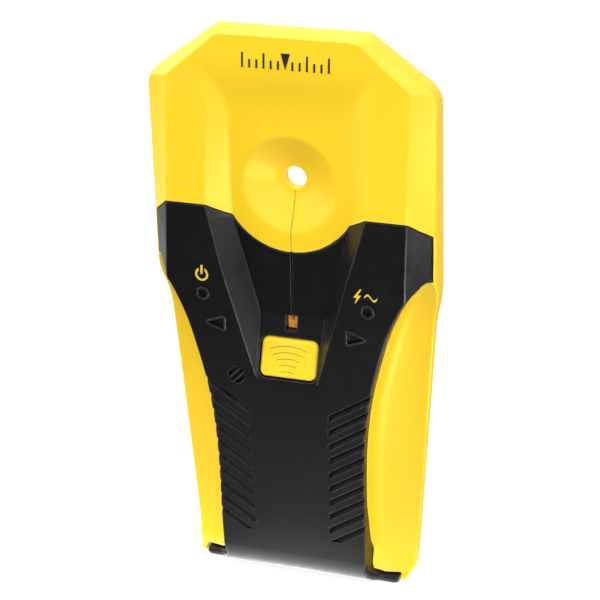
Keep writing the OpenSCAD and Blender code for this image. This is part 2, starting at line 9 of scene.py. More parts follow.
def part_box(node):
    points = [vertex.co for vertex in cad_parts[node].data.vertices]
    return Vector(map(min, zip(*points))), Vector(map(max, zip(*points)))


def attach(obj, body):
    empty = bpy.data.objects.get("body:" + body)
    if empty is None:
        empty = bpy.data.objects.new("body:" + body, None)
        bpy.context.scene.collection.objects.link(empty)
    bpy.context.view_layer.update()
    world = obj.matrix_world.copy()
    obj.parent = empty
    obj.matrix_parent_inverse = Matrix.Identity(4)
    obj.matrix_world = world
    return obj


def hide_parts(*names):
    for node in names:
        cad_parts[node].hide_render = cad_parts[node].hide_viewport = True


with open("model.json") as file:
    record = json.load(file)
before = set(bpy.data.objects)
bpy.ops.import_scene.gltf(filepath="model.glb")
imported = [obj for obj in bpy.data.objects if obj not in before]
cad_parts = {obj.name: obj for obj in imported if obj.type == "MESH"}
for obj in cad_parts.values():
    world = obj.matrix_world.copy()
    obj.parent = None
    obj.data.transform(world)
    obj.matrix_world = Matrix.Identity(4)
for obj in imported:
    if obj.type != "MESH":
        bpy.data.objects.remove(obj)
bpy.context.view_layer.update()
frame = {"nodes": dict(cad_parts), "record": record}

MM = 0.001

# ---------------------------------------------------------------- sizes, in millimetres
# x runs to the right, z up towards the head, and h is the height above the wall face (y = -h).


def span(node):
    """Lowest and highest corners of a CAD node in millimetres, as (x, h, z) with h upwards."""
    low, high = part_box(node)
    return (low[0] / MM, -high[1] / MM, low[2] / MM), (high[0] / MM, -low[1] / MM, high[2] / MM)


HALF_WIDTH, _, TOP_Z = span("front_shell")[1]
BOTTOM_Z = span("front_cover")[0][2]
HOLE_R = frame["record"]["mounts"][0]["dims"]["r_mm"]

WALL = 2.0
HALF_GAP = 0.08
PLATE_T = 2.0
PLATE_INSET = 2.2
PLATE_END = 2.6
ROOM_END = 3.4
GRIP_H = 16.75
FAR = 40.0

# head face, leaning back towards the top, with bevelled sides and cut corners
FACE_H0 = 13.35
LEAN = math.tan(math.radians(6.7))
FACE_HALF = 39.0
RIM_H = 6.3
TOP_EDGE = (22.2, 45.7)
SIDE_EDGE = (39.05, 31.8)
TOP_RIM = (24.2, 47.2)
SIDE_RIM_Z = 31.0
CORNER_R = 9.0
CORNER_MID_Z = 26.4

# side profile of the grip
DROOP_Z = -75.0
DROOP = (GRIP_H - 15.95) / 49.4
ROLL_R = 10.5

# valley, dish and ramp
FLOOR_H0 = 8.42
FLOOR_SLOPE = 0.03
DISH_R = 15.3
DISH_H = 3.3
DISH_FLAT_R = HOLE_R + 1.0
VALLEY_HALF = 26.1
VALLEY_TAPER = 0.286
FLOOR_HALF = 19.2
FLOOR_TAPER = 0.278
SIDE_LEAN = 0.27
NECK_Z = -8.0
NECK_FLOOR_Z = -12.4
FADE_LOW_Z = 24.0
FADE_TOP_Z = 34.0
RAMP_Z = -43.0
RAMP_END_Z = -63.8
RAMP_HALF = 10.7
RAMP_TAPER = 0.024
MOUTH_HALF = 11.0
MOUTH_MID_Z = -40.0
MOUTH_TOP_Z = -59.5
MOUTH_R = 3.0

# seam between the two mouldings; the skirt is the black side wall's lower edge
EAR_Z = -7.75
EAR_HALF = 45.2
EAR_LOW_Z = -13.3
EAR_END_Z = -27.9
ARC_R = 22.7
SKIRT_H = 12.5
EAR_SKIRT_H = 5.6
FOOT_Z = -127.5
FOOT_X = 24.4
FOOT_H = 8.6
FOOT_R = 4.6
FOOT_TOP_Z = -132.7
SKIRT = (
    (FOOT_Z, 3.0), (-124.0, 6.8), (-118.0, 9.8), (-106.0, SKIRT_H), (-36.0, SKIRT_H), (-30.0, EAR_SKIRT_H))

# finger scoops: the floor rises inwards and towards both ends
SCOOP_EDGE = ((-121.0, 38.5), (-47.0, 44.1))
SCOOP_FLOOR_H = 2.3
SCOOP_SPREAD = 14.0
SCOOP_RISE = 2.6
SCOOP_TOP_Z = -43.0
SCOOP_TOP_RISE = 0.34
SCOOP_LOW_Z = -127.0
SCOOP_LOW_RISE = 0.5

# ports, window and engraved line
PORT = (27.05, -36.4)
PORT_R = 1.4
RIM_R = 2.2
PORT_RIM_T = 0.35
PORT_FLOOR_H = 8.0
RIM_ROOT = 1.5
ARROW_Z = -45.9
ARROW_RIM = 0.85
ARROW_HOLE = 0.15
WINDOW_Z = -45.9
WINDOW_HALF = (1.8, 2.3)
WINDOW_R = 0.3
WELL_FLOOR_H = 5.0
LINE_HALF = 0.22
LINE_D = 0.55

# grip grooves, sounder slots, and the finger recess with its notch as (middle x, half width, depth)
GROOVE_ANGLE = math.radians(32)
GROOVE_START = (13.55, -74.6)
GROOVE_PITCH = 4.216
GROOVE_HALF = 0.85
GROOVE_LAST = 9
GROOVE_DRIFT = 0.11
GROOVE_LOW_Z = -118.6
GROOVE_D = 1.0
SPEAKER = (-16.8, -63.2)
SPEAKER_R = 2.8
SPEAKER_D = 1.6
SLOT_PITCH = 1.85
SLOT_HALF = 0.55
RECESS = (-0.1, 8.1, 1.4)
NOTCH = (-7.3, 0.9, 2.4)
RECESS_H = 10.5

# case screws and the posts they bite into
SCREWS = [(33, 20), (20.4, -71.4)]
POST_R = 2.7
PILOT_R = 1.15
PILOT_TOP_H = 8.0

# button
BUTTON_HALF = span("scan_button")[1][0] - 1.1
BUTTON_TOP_Z = -50.6
BUTTON_LOW_Z = -62.6
BUTTON_MID_Z = (BUTTON_TOP_Z + BUTTON_LOW_Z) / 2
BUTTON_HALF_Z = (BUTTON_TOP_Z - BUTTON_LOW_Z) / 2
BUTTON_R = 2.2
BUTTON_GAP = 0.35
BUTTON_WALL = 1.2
BUTTON_INNER_R = 1.2
LIP = 1.1
STEM_Z = -57.0
STEM_R = 2.2
STEM_H = 9.5
ARCS_Z = -69.0
ARCS_R = 8.6
ARCS_PITCH = 1.9
ARCS_HALF = 0.15
ARCS_COUNT = 5
ARCS_TURN = 14.0
ARCS_TURN_STEP = 2.3


def floor_height(z):
    return FLOOR_H0 - FLOOR_SLOPE * z


RAMP_H = floor_height(RAMP_Z)
RAMP_SLOPE = (GRIP_H - RAMP_H) / (RAMP_Z - RAMP_END_Z)


# ---------------------------------------------------------------- outlines in plan
def arc(cx, cz, r, a0, a1, n):
    turns = [math.radians(a0 + (a1 - a0) * i / n) for i in range(n + 1)]
    return [(cx + r * math.cos(a), cz + r * math.sin(a)) for a in turns]


def flowing(points, n):
    """A smooth curve through the points, n steps to each stretch."""
    curve = []
    last = len(points) - 1
    for i in range(last):
        a, b, c, d = (np.array(points[min(max(k, 0), last)]) for k in range(i - 1, i + 3))
        for t in np.arange(n) / n:
            p = 2 * b + (c - a) * t + (2 * a - 5 * b + 4 * c - d) * t**2 + (3 * b - a - 3 * c + d) * t**3
            curve.append(tuple(p / 2))
    return curve + [points[-1]]


INNER_X = -9.0  # outlines run past the middle, as only their right half is used
SIDE = flowing(
    [(HALF_WIDTH - 0.06, -29.0), (HALF_WIDTH - 0.12, -32.0), (45.8, -36.8), (44.8, -41.2), (44.1, -47.0)], 4)
EDGE = (
    [(INNER_X, TOP_Z), (TOP_RIM[0], TOP_Z)]
    + arc(HALF_WIDTH - CORNER_R, CORNER_MID_Z, CORNER_R, 54, 0, 12)
    + SIDE
    + [(38.5, -121.0)]
    + arc(31.0, BOTTOM_Z + 7.2, 6.9, 5, -80, 12)
    + [(32.0, BOTTOM_Z), (INNER_X, BOTTOM_Z)]
)
WAIST = flowing(
    [(47.6, -23.8), (45.0, -26.3), (42.3, -28.6), (39.4, -32.2), (36.9, -36.4), (33.2, -45.0), (30.0, -55.8),
     (27.1, -68.0), (25.4, -80.8), (24.7, -95.2), (24.7, -111.4), (24.45, -127.5)], 5)
FOOT_ARC = arc(FOOT_X + FOOT_R, FOOT_TOP_Z + FOOT_R, FOOT_R, 180, 270, 8)
SCOOP = [(70.0, -23.8)] + WAIST + FOOT_ARC + [(70.0, FOOT_TOP_Z)]
COVER = (
    [(INNER_X, -ARC_R)]
    + arc(0, 0, ARC_R, -89.9, -32.3, 16)
    + [(VALLEY_HALF, EAR_Z), (FACE_HALF, EAR_Z), (EAR_HALF, EAR_LOW_Z), (EAR_HALF, EAR_END_Z)]
    + [p for p in WAIST if p[1] < EAR_END_Z]
    + FOOT_ARC
    + [(33.3, FOOT_TOP_Z), (33.3, -170.0), (INNER_X, -170.0)]
)
FOOT = (
    [(FOOT_X - 2, FOOT_Z)]
    + FOOT_ARC
    + [(33.1, FOOT_TOP_Z), (33.1, BOTTOM_Z + 0.7), (32.5, BOTTOM_Z + 0.05)]
    + [(26.0, BOTTOM_Z + 0.05), (FOOT_X - 2, BOTTOM_Z + 2.0)]
)
ARROW = [(25.6, ARROW_Z), (20.6, ARROW_Z + 1.75), (20.6, ARROW_Z - 1.75)]


def plan_distance(x, z, outline):
    """Signed distance in plan to a closed outline, negative inside."""
    best = inside = None
    for (ax, az), (bx, bz) in zip(outline, outline[1:] + outline[:1]):
        ex, ez = bx - ax, bz - az
        wx, wz = x - ax, z - az
        t = np.clip((wx * ex + wz * ez) / (ex * ex + ez * ez + 1e-12), 0, 1)
        d = (wx - ex * t) ** 2 + (wz - ez * t) ** 2
        turn = np.sign(ez)
        crossed = ((az <= z) != (bz <= z)) & (wx * ez * turn < wz * ex * turn)
        best = d if best is None else np.minimum(best, d)
        inside = crossed if inside is None else inside ^ crossed
    return np.where(inside, -1, 1) * np.sqrt(best)


class Outline:
    """Distance map of an outline's right half, softened a little and sampled with smooth gradients."""

    STEP = 0.25
    LOW = (-4.0, -145.0)
    COUNT = (240, 820)

    def __init__(self, points, soft=0.35):
        x, z = (low + self.STEP * np.arange(count) for low, count in zip(self.LOW, self.COUNT))
        self.map = plan_distance(x[:, None], z[None, :], points)
        reach = int(4 * soft / self.STEP) + 1
        k = np.exp(-0.5 * (np.arange(-reach, reach + 1) * self.STEP / soft) ** 2)
        k /= k.sum()
        for axis in (0, 1):
            self.map = np.apply_along_axis(
                lambda line: np.convolve(np.pad(line, reach, mode="edge"), k, "valid"), axis, self.map)

    def __call__(self, x, z):
        u = np.clip((np.abs(x) - self.LOW[0]) / self.STEP, 1, self.COUNT[0] - 2.5)
        v = np.clip((z - self.LOW[1]) / self.STEP, 1, self.COUNT[1] - 2.5)
        u, v = np.broadcast_arrays(u, v)
        i, j = u.astype(int), v.astype(int)
        a, b = u - i, v - j

        def weights(t):
            return (
                (-t + 2 * t**2 - t**3) / 2, (2 - 5 * t**2 + 3 * t**3) / 2,
                (t + 4 * t**2 - 3 * t**3) / 2, (-(t**2) + t**3) / 2)

        total = 0
        for p, wp in enumerate(weights(a)):
            for q, wq in enumerate(weights(b)):
                total = total + wp * wq * self.map[i + p - 1, j + q - 1]
        return total.astype(np.float32) if x.dtype == np.float32 else total


EDGE_AT = Outline(EDGE)
SCOOP_AT = Outline(SCOOP)
COVER_AT = Outline(COVER, 0.15)
ARROW_AT = Outline(ARROW, 0.15)
FOOT_AT = Outline(FOOT, 0.2)


# ---------------------------------------------------------------- solids as signed distances
# Each shape is a function of (x, h, z), negative inside and near its surface close to a true distance.
# The last number given to both, either and cut is the rounding of the edge that they make.
def both(a, b, k):
    """The space in both solids, with the edge between them softened over k."""
    return np.maximum(a, b) + np.maximum(k - np.abs(a - b), 0) ** 2 / (4 * k)


def either(a, b, k):
    """The space in either solid, with the corner between them filled over k."""
    return -both(-a, -b, k)


def cut(a, b, k):
    """Solid a without the space b."""
    return both(a, -b, k)


def under(h, height, gx, gz):
    """Solid below a sloping face, given the face's height and its slopes."""
    return (h - height) / np.sqrt(1 + gx * gx + gz * gz)


def box_plan(x, z, half_x, half_z, r):
    """Rounded rectangle in plan, centred on the origin."""
    qx = np.abs(x) - (half_x - r)
    qz = np.abs(z) - (half_z - r)
    return np.hypot(np.maximum(qx, 0), np.maximum(qz, 0)) + np.minimum(np.maximum(qx, qz), 0) - r


def swell(t, w):
    """0 well below t = 0, t well above it, bending over about w."""
    return 0.5 * (t + np.sqrt(t * t + w * w))


def along(z, points):
    """Value at z on the line through points given as (z, value)."""
    return np.interp(z, *zip(*points)).astype(z.dtype)


def head_height(z):
    return FACE_H0 - LEAN * z


def grip_height(z):
    return GRIP_H - np.maximum(DROOP_Z - z, 0) * DROOP


def beside(ax, z, a, b):
    """Distance in plan outwards from the line a to b."""
    dx, dz = b[0] - a[0], b[1] - a[1]
    return ((ax - a[0]) * dz - (z - a[1]) * dx) / math.hypot(dx, dz)


def face(x, h, z):
    """Solid under the head face, its bevels, the grip face and the rolled bottom end."""
    ax = np.abs(x)
    head_h = head_height(z)
    edge_h = np.minimum(head_h, GRIP_H)
    top = both(under(h, head_h, 0, LEAN), h - grip_height(z), 0.35)
    steep = (edge_h - RIM_H) / (HALF_WIDTH - FACE_HALF)
    top = both(top, under(h, edge_h - steep * (ax - FACE_HALF), steep, LEAN), 0.3)
    inner = beside(ax, z, SIDE_EDGE, TOP_EDGE)
    outer = beside(ax, z, (HALF_WIDTH, SIDE_RIM_Z), TOP_RIM)
    band = np.maximum(inner - outer, 1.0)
    steep = np.maximum(head_h - RIM_H, 0.5) / band
    diagonal = under(h, head_h - steep * inner, steep, LEAN)
    draft = (TOP_Z - TOP_EDGE[1]) / head_height(TOP_EDGE[1])
    crown = (z - TOP_Z + draft * h) / math.hypot(1, draft)
    top = both(top, both(diagonal, crown, 1.0), 0.4)
    a, b = top + ROLL_R, BOTTOM_Z - z + ROLL_R
    return np.minimum(np.maximum(a, b), 0) + np.hypot(np.maximum(a, 0), np.maximum(b, 0)) - ROLL_R


def recess(x, h, z):
    """Solid under the valley with its ramp and dish."""
    ax = np.abs(x)
    floor_h = floor_height(z)
    ramp_h = RAMP_H + RAMP_SLOPE * (RAMP_Z - z)
    base_h = np.maximum(floor_h, ramp_h)
    face_h = np.minimum(head_height(z), GRIP_H)
    outer = VALLEY_HALF - VALLEY_TAPER * np.maximum(NECK_Z - z, 0)
    floor_edge = FLOOR_HALF - FLOOR_TAPER * np.maximum(NECK_FLOOR_Z - z, 0)
    inner = np.where(z > RAMP_Z, floor_edge, RAMP_HALF - RAMP_TAPER * (RAMP_Z - z))
    steep = np.clip((face_h - base_h) / np.maximum(outer - inner, 0.4), 0.0, 3.0)
    side = under(h, base_h + steep * (ax - inner), steep, SIDE_LEAN * steep * (z < NECK_Z))
    rise = (head_height(FADE_TOP_Z) - floor_height(FADE_LOW_Z)) / (FADE_TOP_Z - FADE_LOW_Z)
    fade = under(h, floor_height(FADE_LOW_Z) + rise * (z - FADE_LOW_Z), 0, rise)
    low = either(under(h, floor_h, 0, FLOOR_SLOPE), fade, 1.2)
    low = either(low, under(h, ramp_h, 0, RAMP_SLOPE), 0.25)
    low = either(low, side, 0.45)
    mouth = -box_plan(x, z - MOUTH_MID_Z, MOUTH_HALF, MOUTH_MID_Z - RAMP_END_Z, MOUTH_R)
    low = either(low, np.maximum(mouth, z - MOUTH_TOP_Z), 0.3)
    r = np.hypot(x, z)
    slope = (FLOOR_H0 - DISH_H) / (DISH_R - DISH_FLAT_R)
    dish = either(under(h, DISH_H + slope * (r - DISH_FLAT_R), slope, 0), h - DISH_H, 1.0)
    return both(low, np.minimum(dish, ARC_R - 2 - r), 0.35)


def scoop_solid(x, h, z):
    """Solid left beside and below the finger scoops."""
    ax = np.abs(x)
    inward = np.clip((along(z, SCOOP_EDGE) - ax) / SCOOP_SPREAD, 0, 1.3)
    ends = SCOOP_TOP_RISE * swell(z - SCOOP_TOP_Z, 5.0) + SCOOP_LOW_RISE * swell(SCOOP_LOW_Z - z, 4.0)
    floor_h = SCOOP_FLOOR_H + SCOOP_RISE * inward**2 + ends
    foot_h = FOOT_H + 5.0 * np.clip((FOOT_X + FOOT_R - ax) / FOOT_R, 0, 1) ** 2
    beyond = np.maximum(FOOT_X - ax, np.maximum(z - FOOT_Z, (foot_h - h) / 1.3))
    return both(either(-SCOOP_AT(x, z), (h - floor_h) / 1.1, 3.2), -beyond, 1.2)


def body(x, h, z):
    """The outer form of the whole housing."""
    solid = both(face(x, h, z), recess(x, h, z), along(z, ((24.0, 0.3), (31.0, 1.4))))
    solid = both(solid, EDGE_AT(x, z), along(z, ((-46.0, 1.9), (-30.0, 0.8))))
    solid = both(solid, scoop_solid(x, h, z), along(z, ((-46.0, 0.9), (-30.0, 0.5))))
    solid = both(solid, -h, 0.35)
    return cut(solid, np.hypot(x, z) - HOLE_R, 0.3)


def cavity(x, h, z, solid):
    """Free space inside the mouldings and the pocket for the back plate."""
    room = np.maximum(np.maximum(solid + WALL, PLATE_T - h), BOTTOM_Z + ROOM_END - z)
    plate = np.maximum(EDGE_AT(x, z) + PLATE_INSET, PLATE_INSET - SCOOP_AT(x, z))
    plate = np.maximum(plate, np.maximum(BOTTOM_Z + PLATE_END - z, HOLE_R + WALL - np.hypot(x, z)))
    free = np.minimum(room, np.maximum(plate, h - PLATE_T - 0.1))
    for px, pz in SCREWS:
        r = np.hypot(np.abs(x) - px, z - pz)
        free = np.maximum(free, np.where(h > PLATE_T + 0.2, POST_R - r, -FAR))
        free = np.minimum(free, np.maximum(r - PILOT_R, h - PILOT_TOP_H))
    return free


def cover_zone(x, h, z):
    """The share of the housing that the black moulding takes."""
    plan = COVER_AT(x, z)
    ring = np.where(z > FOOT_Z, np.where(z < EAR_END_Z, plan + WALL + 0.3, 50.0), -50.0)
    return np.maximum(plan, np.minimum(along(z, SKIRT) - h, ring))


def grooves(x, h, z):
    """The sloping grip grooves, deeper along their upper walls."""
    ax = np.abs(x)
    v = math.cos(GROOVE_ANGLE) * (z - GROOVE_START[1]) - math.sin(GROOVE_ANGLE) * (ax - GROOVE_START[0])
    n = np.clip(np.round(-v / GROOVE_PITCH), 0, GROOVE_LAST)
    v = v + n * GROOVE_PITCH
    end = GROOVE_START[0] - GROOVE_DRIFT * n - ax
    slot = np.maximum(np.maximum(np.abs(v) - GROOVE_HALF, end), GROOVE_LOW_Z - z)
    return np.maximum(slot, grip_height(z) - (GROOVE_D + 0.45 * v) - h)


def speaker(x, h, z):
    """Three slanting slots in a round field."""
    dx, dz = x - SPEAKER[0], z - SPEAKER[1]
    v = (dz - dx) * math.sqrt(0.5)
    v = np.abs(v - SLOT_PITCH * np.clip(np.round(v / SLOT_PITCH), -1, 1))
    return np.maximum(np.maximum(np.hypot(dx, dz) - SPEAKER_R, v - SLOT_HALF), GRIP_H - SPEAKER_D - h)


def line(x, z, solid):
    """Engraved centre line from the marking hole down to the window."""
    strip = np.maximum(np.abs(x) - LINE_HALF, np.maximum(z + HOLE_R + 1.0, RAMP_Z - z))
    return np.maximum(strip, -solid - LINE_D)


def foot(x, h, z):
    """Curved foot that carries the side wall round under the scoop."""
    return both(FOOT_AT(x, z), np.abs(h - 0.5 * FOOT_H - 1) - 0.5 * FOOT_H + 1, 1.6)


def end_cut(x, h, z, size):
    """Shallow cut up into the bottom end."""
    middle, half, depth = size
    return np.maximum(np.abs(x - middle) - half, np.maximum(z - BOTTOM_Z - depth, h - RECESS_H))


def yellow_solid(x, h, z):
    outer = body(x, h, z)
    shell = cut(outer, cavity(x, h, z, outer), 0.2)
    shell = cut(shell, line(x, z, outer), 0.06)
    gap = along(z, ((-131.6, 0.7), (-130.4, HALF_GAP)))
    return both(shell, gap - cover_zone(x, h, z), 0.22)


def black_solid(x, h, z):
    outer = body(x, h, z)
    shell = cut(outer, cavity(x, h, z, outer), 0.2)
    shell = both(shell, cover_zone(x, h, z) + HALF_GAP, 0.22)
    shell = either(shell, foot(x, h, z), 0.8)
    port = np.hypot(np.abs(x) - PORT[0], z - PORT[1])
    arrow = ARROW_AT(x, z)
    top = h - np.minimum(head_height(z), GRIP_H)
    rims = np.maximum(np.minimum(port - RIM_R, arrow - ARROW_RIM), -top - RIM_ROOT)
    shell = either(shell, both(rims, top - PORT_RIM_T, 0.3), 0.15)
    holes = np.maximum(np.minimum(port - PORT_R, arrow - ARROW_HOLE), PORT_FLOOR_H - h)
    shell = cut(shell, holes, 0.25)
    shell = cut(shell, np.maximum(box_plan(x, z - WINDOW_Z, *WINDOW_HALF, WINDOW_R), WELL_FLOOR_H - h), 0.2)
    well = box_plan(x, z - BUTTON_MID_Z, BUTTON_HALF + BUTTON_GAP, BUTTON_HALF_Z + BUTTON_GAP,
                    BUTTON_R + BUTTON_GAP)
    shell = cut(shell, np.maximum(well, WELL_FLOOR_H - h), 0.3)
    shell = cut(shell, grooves(x, h, z), 0.15)
    shell = cut(shell, speaker(x, h, z), 0.15)
    shell = cut(shell, line(x, z, outer), 0.06)
    return cut(shell, np.minimum(end_cut(x, h, z, RECESS), end_cut(x, h, z, NOTCH)), 0.15)


def button_arcs(x, z):
    """Five concentric engraved arcs, the largest at the top."""
    r = np.hypot(x, z - ARCS_Z)
    turn = np.degrees(np.arctan2(np.abs(x), z - ARCS_Z))
    best = None
    for i in range(ARCS_COUNT):
        past_end = (turn - ARCS_TURN - ARCS_TURN_STEP * i) * 0.25
        d = np.maximum(np.abs(r - ARCS_R - ARCS_PITCH * i) - ARCS_HALF, past_end)
        best = d if best is None else np.minimum(best, d)
    return best


def button_solid(x, h, z):
    """Rounded cap lying in the ramp, with the lip and stem under it."""
    def plan(grow):
        r = max(BUTTON_R + grow, BUTTON_INNER_R)
        return box_plan(x, z - BUTTON_MID_Z, BUTTON_HALF + grow, BUTTON_HALF_Z + grow, r)

    ramp = under(h, RAMP_H + RAMP_SLOPE * (RAMP_Z - z), 0, RAMP_SLOPE)
    cap = both(plan(0), ramp - 0.25, 1.5)
    cap = cut(np.maximum(cap, -ramp - 4.0), np.maximum(plan(-BUTTON_WALL), ramp + 2.2), 0.2)
    lip = cut(np.maximum(plan(LIP), np.abs(ramp + 3.5) - 0.5), plan(-BUTTON_WALL), 0.1)
    stem = np.maximum(np.maximum(np.hypot(x, z - STEM_Z) - STEM_R, STEM_H - h), ramp + 1)
    solid = np.minimum(either(cap, lip, 0.2), stem)
    return cut(solid, np.maximum(button_arcs(x, z), -ramp - 0.05), 0.08)


# ---------------------------------------------------------------- meshing
def graded(*stretches):
    """Grid lines over stretches of (start, end, spacing)."""
    lines = []
    for start, end, step in stretches:
        n = max(int(round((end - start) / step)), 1)
        lines.extend(start + (end - start) * np.arange(n) / n)
    return np.array(lines + [stretches[-1][1]])


def gradient(shape, p, e=0.02):
    """Value and slope of a shape at points, from four samples around each."""
    corners = np.array([(1, -1, -1), (-1, -1, 1), (-1, 1, -1), (1, 1, 1)], float)
    total, value = np.zeros_like(p), 0
    for k in corners:
        f = shape(*(p + e * k).T)
        total += k * f[:, None]
        value = value + f / 4
    return value, total / (4 * e)


def crossings(field):
    """Quads around each grid edge that the surface crosses, as cell numbers, with the crossing points."""
    strides = np.array([field.shape[1] * field.shape[2], field.shape[2], 1])
    inside = field < 0
    rings, spots = [], []
    for axis in range(3):
        low = [slice(None)] * 3
        high = [slice(None)] * 3
        low[axis], high[axis] = slice(None, -1), slice(1, None)
        low, high = tuple(low), tuple(high)
        idx = np.argwhere(inside[low] != inside[high])
        a = field[low][tuple(idx.T)]
        b = field[high][tuple(idx.T)]
        spot = idx.astype(float)
        spot[:, axis] += a / (a - b)
        u, v = strides[(axis + 1) % 3], strides[(axis + 2) % 3]
        base = idx @ strides
        ring = np.stack([base, base - u, base - u - v, base - v], 1)
        ring[a > 0] = ring[a > 0][:, ::-1]
        rings.append(ring.ravel())
        spots.append(np.repeat(spot, 4, 0))
    return np.concatenate(rings), np.concatenate(spots)


def skin(shape, axes):
    """Quads over a shape's surface: one point in each grid cell that the surface crosses, moved onto it."""
    x, h, z = (a.astype(np.float32) for a in axes)
    field = shape(x[:, None, None], h[None, :, None], z[None, None, :])
    field = np.broadcast_to(field, (len(x), len(h), len(z)))
    rings, spots = crossings(field)
    _, faces = np.unique(rings, return_inverse=True)
    counts = np.bincount(faces)
    points = np.stack([np.bincount(faces, spots[:, k]) / counts for k in range(3)], 1)
    p = np.stack([np.interp(points[:, k], np.arange(len(axes[k])), axes[k]) for k in range(3)], 1)
    for _ in range(2):
        f, g = gradient(shape, p)
        move = -f[:, None] * g / np.maximum((g * g).sum(1), 0.05)[:, None]
        size = np.linalg.norm(move, axis=1)
        p += move * np.minimum(1, 0.25 / np.maximum(size, 1e-9))[:, None]
    _, g = gradient(shape, p)
    g /= np.maximum(np.linalg.norm(g, axis=1), 1e-9)[:, None]
    # edge, the curvature over 0.25 mm, masks the lighter ridges (wear and painted highlight) and the painted
    # shade in inner corners; hollow dims the gloss in wider hollows
    near, _ = gradient(shape, p, 0.25)
    wide, _ = gradient(shape, p, 0.8)
    return p, faces.reshape(-1, 4), g, {"edge": near * 12, "hollow": -wide / 0.4}


def moulding(name, shape, axes, body_name, replaces):
    """Mesh of a shape, riding on a body in place of a CAD node."""
    points, quads, normals, looks = skin(shape, axes)
    mesh = bpy.data.meshes.new(name)
    flip = np.array([1, -1, 1])
    corners = points[quads] * flip
    facing = np.cross(corners[:, 2] - corners[:, 0], corners[:, 3] - corners[:, 1])
    if (facing * normals[quads[:, 0]] * flip).sum() < 0:
        quads = quads[:, ::-1]
    mesh.from_pydata((points * flip * MM).tolist(), [], quads.tolist())
    mesh.update()
    mesh.shade_smooth()
    mesh.normals_split_custom_set_from_vertices((normals * flip).tolist())
    for key, values in looks.items():
        held = mesh.attributes.new(key, "FLOAT", "POINT")
        held.data.foreach_set("value", np.clip(values, -1, 1).astype(np.float32))
    o = bpy.data.objects.new(name, mesh)
    bpy.context.scene.collection.objects.link(o)
    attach(o, body_name)
    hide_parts(replaces)
    return o


MARGIN = 0.7
HALF_X = graded((0.0, 0.9, 0.15), (0.9, 19.0, 0.36), (19.0, 30.0, 0.2), (30.0, HALF_WIDTH + 0.4, 0.36))
FULL_X = np.concatenate([-HALF_X[:0:-1], HALF_X])
LINES_H = graded((-0.6, 5.4, 0.35), (5.4, 18.0, 0.3))
YELLOW_Z = graded((BOTTOM_Z - MARGIN, -126.0, 0.25), (-126.0, -28.0, 0.45), (-28.0, TOP_Z + MARGIN, 0.36))
BLACK_Z = graded(
    (BOTTOM_Z - MARGIN, -71.0, 0.33), (-71.0, -50.0, 0.3), (-50.0, -33.0, 0.2), (-33.0, -6.0, 0.36))
BUTTON_MARGIN = 1.6
BUTTON_AXES = (
    graded((-BUTTON_HALF - BUTTON_MARGIN, BUTTON_HALF + BUTTON_MARGIN, 0.16)),
    graded((7.0, GRIP_H + 1.0, 0.2)),
    graded((BUTTON_LOW_Z - BUTTON_MARGIN, BUTTON_TOP_Z + BUTTON_MARGIN, 0.16)),
)

head = moulding("yellow_housing", yellow_solid, (FULL_X, LINES_H, YELLOW_Z), "housing", "front_shell")
cover = moulding("black_housing", black_solid, (FULL_X, LINES_H, BLACK_Z), "housing", "front_cover")
button = moulding("button_cap", button_solid, BUTTON_AXES, "button", "scan_button")


# ---------------------------------------------------------------- materials
def nodes_of(owner):
    return owner.node_tree.nodes, owner.node_tree.links


def noise(nt, links, coord, scale, detail=3.0, rough=0.55):
    n = nt.new("ShaderNodeTexNoise")
    n.inputs["Scale"].default_value = scale
    n.inputs["Detail"].default_value = detail
    n.inputs["Roughness"].default_value = rough
    links.new(coord, n.inputs["Vector"])
    return n.outputs["Fac"]


def ranged(nt, links, value, low, high, to_low, to_high, smooth=False):
    m = nt.new("ShaderNodeMapRange")
    if smooth:
        m.interpolation_type = "SMOOTHSTEP"
    for key, number in (("From Min", low), ("From Max", high), ("To Min", to_low), ("To Max", to_high)):
        m.inputs[key].default_value = number
    links.new(value, m.inputs["Value"])
    return m.outputs["Result"]


def joined(nt, links, kind, *parts):
    """A math node over numbers and sockets."""
    m = nt.new("ShaderNodeMath")
    m.operation = kind
    for socket, value in zip(m.inputs, parts):
        if isinstance(value, float):
            socket.default_value = value
        else:
            links.new(value, socket)
    return m.outputs[0]


def mixed(nt, links, factor, a, b):
    m = nt.new("ShaderNodeMix")
    m.data_type = "RGBA"
    links.new(factor, m.inputs["Factor"])
    for socket, colour in ((m.inputs[6], a), (m.inputs[7], b)):
        if isinstance(colour, tuple):
            socket.default_value = (*colour, 1)
        else:
            links.new(colour, socket)
    return m.outputs[2]


def attribute(nt, name):
    held = nt.new("ShaderNodeAttribute")
    held.attribute_name = name
    return held.outputs["Fac"]


DRIFT_SCALE = 45.0
RIDGE_PATCH_SCALE = 420.0
PATCH_SCALE = 260.0


